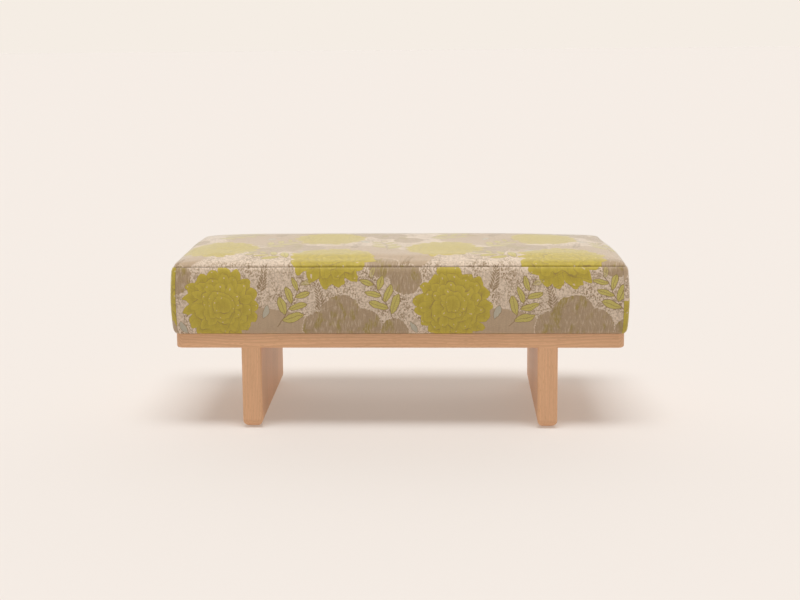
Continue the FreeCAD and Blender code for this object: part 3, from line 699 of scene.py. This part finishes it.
def cushion_mesh():
    """The closed cover of the cushion: four side panels, a crowned top and a turned-under bottom."""
    _, _, quarter = on_outline(np.zeros(1))
    corner = HALF_LENGTH - CORNER_RADIUS + CORNER_RADIUS * math.pi / 4
    seam_angle = math.asin((CORNER_SEAM_X - HALF_LENGTH + CORNER_RADIUS) / CORNER_RADIUS)
    seam_gap = CORNER_RADIUS * (math.pi / 4 - seam_angle)
    # Points stand closer together at the seams, the edges and the bottom than between them.
    near = [0, seam_gap - 0.0028, seam_gap - 0.0012, seam_gap, seam_gap + 0.0012, seam_gap + 0.0028]
    seam_column = near.index(seam_gap)
    front = spaced([*near, 0.0105, 0.0145, 0.020, 0.027, 0.037, 0.049], 2 * corner, 0.012)
    near = [0, 0.0015, 0.0035, 0.006, 0.0095, 0.0135, 0.019, 0.026, 0.036, 0.048]
    side = spaced(near, 2 * (quarter - corner), 0.012)
    n, m = len(front) - 1, len(side) - 1
    starts = [-corner, corner, 2 * quarter - corner, 2 * quarter + corner]
    spans = [front, side, front, side]
    s = np.concatenate([start + span[:-1] for start, span in zip(starts, spans)])
    base, outward, _ = on_outline(s)

    near = [0, 0.0012, 0.0035, 0.007, 0.012, 0.019, 0.028, 0.039]
    top_near = [0.0015, 0.004, 0.008, ALLOWANCE_WIDTH - 0.001, ALLOWANCE_WIDTH + 0.0015, 0.020, 0.028, 0.039]
    inner = np.linspace(near[-1], SIDE_HEIGHT - top_near[-1], 9)[1:-1]
    heights = np.array([*near, *inner, *(SIDE_HEIGHT - d for d in reversed(top_near)), SIDE_HEIGHT])

    corner_seams = [seam_column, n - seam_column, n + m + seam_column, 2 * n + m - seam_column]
    seam_mask = np.zeros(len(s))
    seam_mask[corner_seams] = 1

    along = np.abs(base / (HALF_LENGTH, HALF_DEPTH)).min(1)
    draw = SEAM_DRAW * (1 - along**2)
    rows = []
    for height in heights:
        away = bulge(height) - draw * abs(2 * height / SIDE_HEIGHT - 1) ** 3
        allowance = SIDE_HEIGHT - height
        away = away + ALLOWANCE_RISE * (allowance < ALLOWANCE_WIDTH) * (allowance > 0)
        away = away - GROOVE_DEPTH * np.maximum(seam_mask, 1.0 * (height == SIDE_HEIGHT))
        away = away + slow_waves(s, height)
        level = CUSHION_BOTTOM + height - GROOVE_DROP * (height == SIDE_HEIGHT)
        plan = base + outward * np.broadcast_to(away, s.shape)[:, None]
        rows.append(np.column_stack([plan, np.full(len(s), level)]))
    rows = np.stack(rows)

    net = Net()
    numbers = net.place(rows)
    total = len(s)
    cuts = [*corner_seams, corner_seams[0] + total]
    centres = [0, quarter, 2 * quarter, 3 * quarter]
    lengths = np.concatenate([s, s + 4 * quarter])
    for k in range(4):
        columns = np.arange(cuts[k], cuts[k + 1] + 1)
        u = lengths[columns] - centres[k] + PANEL_SHIFTS[k][0]
        v = heights + PANEL_SHIFTS[k][1]
        flat = np.stack(np.meshgrid(u, v), -1)
        net.panel(numbers[:, columns % total], flat)

    plan = cap_grid(base, front, side, corner)
    inner = plan[1:-1, 1:-1]
    z = SEAM_LEVEL + crown(inner[..., 0], inner[..., 1]) + top_waves(inner)
    top = cap_numbers(net, numbers[-1], np.dstack([inner, z]), n, m)
    flat = plan + (0.0, HALF_DEPTH + SIDE_HEIGHT + TOP_PANEL_SHIFT)
    net.panel(top, flat)

    z = np.full(inner.shape[:2], CUSHION_BOTTOM)
    under = cap_numbers(net, numbers[0], np.dstack([inner, z]), n, m)
    net.panel(under, plan, turned=True)
    net.points = settled(np.array(net.points)).tolist()
    cover = net.mesh("cushion_cover")
    seam = np.zeros(len(net.points), np.float32)
    seam[numbers[-1]] = 1
    seam[numbers[:, corner_seams]] = 1
    pressed_out(cover, seam)
    # The seam mask is kept on the cover so that the cloth material can paint shade along the seams.
    cover.attributes.new("seam", "FLOAT", "POINT").data.foreach_set("value", seam)
    return cover


def settled(points):
    """The points after the stuffing at the back corners has settled: drawn in and down, most at the top."""
    x, y, z = points.T
    share = np.clip((z - CUSHION_BOTTOM - SETTLED_FROM) / (SIDE_HEIGHT - SETTLED_FROM), 0, 1)
    high = share * share * (3 - 2 * share)
    for side, draw, drop, reach in SETTLED_CORNERS:
        away = np.hypot(x - side * HALF_LENGTH, y - HALF_DEPTH)
        near = high * np.exp(-((away / reach) ** 2))
        x = x - side * draw * near
        y = y - draw / 2 * near
        z = z - drop * near
    return np.stack([x, y, z], 1)


def held_share(points, seams):
    """How free each point is to move: 0 at the seams and under the cushion, 1 well away from both."""
    tree = kdtree.KDTree(len(seams))
    for k, seam in enumerate(seams):
        tree.insert(seam, k)
    tree.balance()
    reach = np.array([tree.find(point)[2] for point in points])
    reach = np.minimum(reach, points[:, 2] - CUSHION_BOTTOM)
    share = np.clip((reach - PUFF_HELD) / PUFF_REACH, 0, 1)
    return share * share * (3 - 2 * share)


def pressed_out(mesh, seam):
    """Moves the cover's points as cloth under pressure moves them, with its seams held."""
    points = np.array([v.co for v in mesh.vertices])
    normals = np.array([v.normal for v in mesh.vertices])
    free = held_share(points, points[seam > 0.5])[:, None]
    start = points - normals * PUFF_START * free

    trial_mesh = mesh.copy()
    trial_mesh.vertices.foreach_set("co", start.ravel())
    trial = bpy.data.objects.new("trial", trial_mesh)
    bpy.context.scene.collection.objects.link(trial)
    remesh = trial.modifiers.new("remesh", "REMESH")
    remesh.mode = "VOXEL"
    remesh.voxel_size = PUFF_VOXEL
    apply_modifier(trial, remesh)
    rest = np.array([v.co for v in trial.data.vertices])
    loose = held_share(rest, start[seam > 0.5])

    group = trial.vertex_groups.new(name="held")
    for k, share in enumerate(loose):
        group.add([k], 1 - share, "REPLACE")
    cloth = trial.modifiers.new("cloth", "CLOTH")
    cloth.settings.quality = 5
    cloth.settings.use_pressure = True
    cloth.settings.uniform_pressure_force = PUFF_PRESSURE
    cloth.settings.vertex_group_mass = "held"
    cloth.settings.effector_weights.gravity = 0
    cloth.collision_settings.use_collision = False
    cloth.point_cache.frame_end = PUFF_FRAMES
    for frame_number in range(1, PUFF_FRAMES + 1):
        bpy.context.scene.frame_set(frame_number)
    apply_modifier(trial, cloth)
    moves = np.array([v.co for v in trial.data.vertices]) - rest
    size = np.linalg.norm(moves, axis=1, keepdims=True)
    moves *= np.minimum(1, PUFF_LIMIT / np.maximum(size, 1e-9))

    tree = kdtree.KDTree(len(rest))
    for k, place in enumerate(rest):
        tree.insert(place, k)
    tree.balance()
    found = np.zeros_like(points)
    for k, place in enumerate(start):
        near = tree.find_n(place, PUFF_NEIGHBOURS)
        weights = np.array([1 / (1e-5 + distance**2) for _, _, distance in near])
        found[k] = weights @ moves[[number for _, number, _ in near]] / weights.sum()
    bpy.data.objects.remove(trial)
    bpy.context.scene.frame_set(1)
    mesh.vertices.foreach_set("co", (start + found * free).ravel())
    mesh.update()


def apply_modifier(piece, modifier):
    with bpy.context.temp_override(object=piece, active_object=piece, selected_objects=[piece]):
        bpy.ops.object.modifier_apply(modifier=modifier.name)


def slow_waves(s, height):
    """Small unevenness of the stuffed sides, nil at the seams."""
    share = 4 * height * (SIDE_HEIGHT - height) / SIDE_HEIGHT**2
    waves = [noise.noise(Vector((x * 7.0, height * 11.0, 3.1))) for x in s]
    return SIDE_WAVE * share * np.array(waves)


def top_waves(plan):
    """Small unevenness of the top, nil at the seam."""
    rows = [[noise.noise(Vector((x * 6.0, y * 9.0, 7.7))) for x, y in row] for row in plan]
    edge_x = np.clip((HALF_LENGTH - np.abs(plan[..., 0])) / TOP_WAVE_MARGIN, 0, 1)
    edge_y = np.clip((HALF_DEPTH - np.abs(plan[..., 1])) / TOP_WAVE_MARGIN, 0, 1)
    return TOP_WAVE * np.array(rows) * edge_x * edge_y


def add_piece(mesh, material):
    piece = bpy.data.objects.new(mesh.name, mesh)
    bpy.context.scene.collection.objects.link(piece)
    mesh.materials.append(material)
    for face in mesh.polygons:
        face.use_smooth = True
    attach(piece, BODY)
    return piece


def make_cushion():
    piece = add_piece(cushion_mesh(), cloth_material())
    finer = piece.modifiers.new("finer", "SUBSURF")
    finer.levels = 1
    finer.render_levels = 1
    sides = ("front", "back", "left", "right")
    covers = [f"{side}_cover" for side in sides]
    pads = [f"{side}_foam_pad" for side in sides]
    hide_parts("top_cover", *covers, *pads, "wadding", "seat_foam")
    return piece


def make_camera():
    data = bpy.data.cameras.new("camera")
    data.sensor_fit = "HORIZONTAL"
    data.sensor_width = SENSOR_WIDTH
    data.lens = FOCAL_PIXELS * SENSOR_WIDTH / PHOTO_WIDTH
    data.shift_x = (PHOTO_WIDTH / 2 - OPTICAL_CENTRE[0]) / PHOTO_WIDTH
    data.shift_y = (OPTICAL_CENTRE[1] - PHOTO_HEIGHT / 2) / PHOTO_WIDTH
    ahead = Vector(
        (
            math.sin(CAMERA_YAW) * math.cos(CAMERA_PITCH),
            math.cos(CAMERA_YAW) * math.cos(CAMERA_PITCH),
            -math.sin(CAMERA_PITCH),
        )
    )
    level = Vector((math.cos(CAMERA_YAW), -math.sin(CAMERA_YAW), 0))
    up = level.cross(ahead)
    right = level * math.cos(CAMERA_ROLL) + up * math.sin(CAMERA_ROLL)
    up = up * math.cos(CAMERA_ROLL) - level * math.sin(CAMERA_ROLL)
    camera = bpy.data.objects.new("camera", data)
    bpy.context.scene.collection.objects.link(camera)
    axes = Matrix((right, up, -ahead)).transposed().to_4x4()
    camera.matrix_world = Matrix.Translation(CAMERA_PLACE) @ axes
    bpy.context.scene.camera = camera


FLOOR_COLOUR = (0.488, 0.487, 0.488, 1)
FLOOR_GLOW = (0.303, 0.247, 0.206, 1)
BACKDROP_COLOUR = (0.913, 0.847, 0.776, 1)
SURROUND_COLOUR = (0.90, 0.865, 0.82, 1)
HORIZON_STRENGTH = 0.92
ZENITH_STRENGTH = 0.30
HORIZON_HEIGHT = 0.45
BACK_GLOW = 1.15
LAMP_STRENGTH = 1.22
LAMP_SPREAD = math.radians(23)
LAMP_TILTS = [(-0.17, 0.18), (-0.17, -0.16)]
LAMP_COLOUR = (1.0, 0.985, 0.96)
FLOOR_REACH = 30.0


def make_stage():
    """Pale floor, a soft overhead light and an even soft surround."""
    mesh = bpy.data.meshes.new("floor")
    corners = [(x * FLOOR_REACH, y * FLOOR_REACH, 0) for x, y in ((-1, -1), (1, -1), (1, 1), (-1, 1))]
    mesh.from_pydata(corners, [], [(0, 1, 2, 3)])
    material, g = new_material("pale_floor")
    grain = g.noise(g.object_place(), 900.0, 2.0)
    g.surface(
        Base_Color=g.brighten(FLOOR_COLOUR, 0.995 + grain * 0.01),
        Roughness=0.9,
        Specular_IOR_Level=0.0,
        Emission_Color=FLOOR_GLOW,
        Emission_Strength=1.0,
    )
    mesh.materials.append(material)
    floor = bpy.data.objects.new("floor", mesh)
    bpy.context.scene.collection.objects.link(floor)

    world = bpy.data.worlds.new("surround")
    bpy.context.scene.world = world
    g = Graph(world)
    _, back, height = g.split(g.add("ShaderNodeTexCoord").outputs["Generated"])
    strength = g.smooth(height, 0.0, HORIZON_HEIGHT, HORIZON_STRENGTH, ZENITH_STRENGTH)
    strength = strength + g.smooth(back, 0.2, 0.8, 0.0, BACK_GLOW) * g.smooth(height, 0.0, 0.12)
    light = g.add("ShaderNodeBackground", None, {"Color": SURROUND_COLOUR, "Strength": strength})
    seen = g.add("ShaderNodeBackground", None, {"Color": BACKDROP_COLOUR, "Strength": 1.0})
    path = g.add("ShaderNodeLightPath")
    shares = {0: path.outputs["Is Camera Ray"], 1: light.outputs[0], 2: seen.outputs[0]}
    mixed = g.add("ShaderNodeMixShader", None, shares)
    g.add("ShaderNodeOutputWorld", None, {"Surface": mixed.outputs[0]})

    for number, (back, right) in enumerate(LAMP_TILTS, 1):
        data = bpy.data.lights.new(f"soft_lamp_{number}", "SUN")
        data.energy = LAMP_STRENGTH
        data.angle = LAMP_SPREAD
        data.color = LAMP_COLOUR
        lamp = bpy.data.objects.new(data.name, data)
        toward = Vector((right, back, 1.0))
        lamp.rotation_euler = toward.to_track_quat("Z", "Y").to_euler()
        bpy.context.scene.collection.objects.link(lamp)
    bpy.context.scene.view_settings.view_transform = "Standard"


def dress(names, material):
    for name in names:
        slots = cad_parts[name].data.materials
        slots.clear()
        slots.append(material)


LIGHT_WOOD = (0.745, 0.438, 0.252, 1)
WOOD_GRAIN = (0.50, 0.265, 0.130, 1)
X_AXIS, Y_AXIS, Z_AXIS = range(3)
STAVE_PITH_ASIDE = 0.17
STAVE_PITH_AHEAD = 0.10
STAVE_PITH_SPREAD = 0.02
STAVE_TONE_SPREAD = 0.04


def dress_wood():
    """The show wood: each rail and stave is its own piece of timber."""
    rails = {
        "front_rail": (X_AXIS, (-0.170, 0.205), 1.3),
        "back_rail": (X_AXIS, (0.165, 0.200), 5.1),
        "left_end_rail": (Y_AXIS, (-0.505, 0.195), 2.2),
        "right_end_rail": (Y_AXIS, (0.510, 0.200), 7.9),
        "left_leg_rail": (Y_AXIS, (-0.40, 0.10), 3.3),
        "centre_rail": (Y_AXIS, (0.02, 0.12), 4.6),
        "right_leg_rail": (Y_AXIS, (0.37, 0.09), 6.4),
    }
    for name, (grain, pith, seed) in rails.items():
        dress([name], wood_material(name + "_wood", grain, pith, seed, LIGHT_WOOD, WOOD_GRAIN))
    for number in range(1, 5):
        for side, sign in (("left", -1), ("right", 1)):
            name = f"{side}_leg_stave_{number}"
            low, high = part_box(name)
            seed = number * 1.7 + sign * 3.1
            shift = STAVE_PITH_SPREAD * math.sin(seed * 2.1)
            aside = math.copysign(STAVE_PITH_ASIDE, math.cos(seed))
            pith = ((low.x + high.x) / 2 + aside, low.y - STAVE_PITH_AHEAD + shift)
            tone = 1 + STAVE_TONE_SPREAD * math.sin(seed * 5.3)
            light = (*(c * tone for c in LIGHT_WOOD[:3]), 1)
            dress([name], wood_material(name + "_wood", Z_AXIS, pith, seed, light, WOOD_GRAIN))


def dress_inside():
    """Frame, fixings and support that the cover and the platform hide."""
    pine_light, pine_dark = (0.66, 0.44, 0.22, 1), (0.50, 0.28, 0.11, 1)
    pine_x = wood_material("pine_long", X_AXIS, (0.02, 0.16), 8.8, pine_light, pine_dark, 0.004)
    pine_y = wood_material("pine_short", Y_AXIS, (0.30, 0.14), 9.4, pine_light, pine_dark, 0.004)
    beech_light, beech_dark = (0.60, 0.36, 0.20, 1), (0.45, 0.24, 0.12, 1)
    beech = wood_material("beech", X_AXIS, (0.05, 0.10), 6.1, beech_light, beech_dark, 0.003)
    steel = grained_material("zinc_steel", (0.62, 0.63, 0.64, 1), (0.42, 0.43, 0.45, 1), 900.0, 0.30, 1.0)
    brass = grained_material("brass", (0.72, 0.55, 0.25, 1), (0.55, 0.39, 0.15, 1), 700.0, 0.32, 1.0)
    plastic = grained_material("glide_plastic", (0.20, 0.16, 0.12, 1), (0.14, 0.11, 0.08, 1), 800.0, 0.5)
    webbing = woven_material("webbing", (0.42, 0.33, 0.22, 1), (0.20, 0.15, 0.09, 1), 0.004, 0.3)
    hessian = woven_material("hessian", (0.50, 0.36, 0.19, 1), (0.24, 0.15, 0.06, 1), 0.0035, 0.3)
    dress(["seat_front_rail", "seat_back_rail"], pine_x)
    dress(["seat_left_rail", "seat_right_rail", "seat_struts", "corner_blocks"], pine_y)
    dress(["corner_splines", "rail_dowels", "leg_dowels", "seat_dowels", "strut_dowels"], beech)
    screws = ["leg_bolts", "leg_washers", "glide_nails", "block_screws", "seat_screws"]
    dress([*screws, "webbing_staples", "cover_staples", "dust_cover_staples"], steel)
    dress(["leg_inserts"], brass)
    dress(["glides"], plastic)
    dress(["cross_webbing", "long_webbing"], webbing)
    dress(["hessian"], hessian)


DUST_SAG = 0.005
DUST_FULL_SPAN = 0.3
DUST_COLUMNS = 96
DUST_ROWS = 38


def make_dust_cover():
    """The thin black cloth stapled under the cushion, sagging a little between the platform's rails."""
    low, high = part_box("dust_cover")
    xs = np.linspace(low.x, high.x, DUST_COLUMNS)
    ys = np.linspace(low.y, high.y, DUST_ROWS)
    x, y = np.meshgrid(xs, ys)
    walls = [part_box("left_end_rail")[1].x]
    for name in ("left_leg_rail", "centre_rail", "right_leg_rail"):
        walls += [corner.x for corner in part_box(name)]
    walls.append(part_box("right_end_rail")[0].x)
    inner_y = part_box("front_rail")[1].y
    sag = np.zeros_like(x)
    for start, end in zip(walls[0::2], walls[1::2]):
        share_x = np.clip((x - start) / (end - start), 0, 1)
        share_y = np.clip((y - inner_y) / (-2 * inner_y), 0, 1)
        span = min(1.0, (end - start) / DUST_FULL_SPAN)
        sag += DUST_SAG * span * (4 * share_x * (1 - share_x) * 4 * share_y * (1 - share_y)) ** 0.8
    net = Net()
    points = np.dstack([x, y, (low.z + high.z) / 2 - sag])
    numbers = net.place(points)
    net.panel(numbers, np.dstack([x, y]))
    cloth = woven_material("dust_cloth", (0.030, 0.030, 0.032, 1), (0.012, 0.012, 0.014, 1), 0.0016, 0.1)
    piece = add_piece(net.mesh("dust_cloth"), cloth)
    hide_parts("dust_cover")


make_camera()
make_stage()
make_cushion()
make_dust_cover()
dress_wood()
dress_inside()
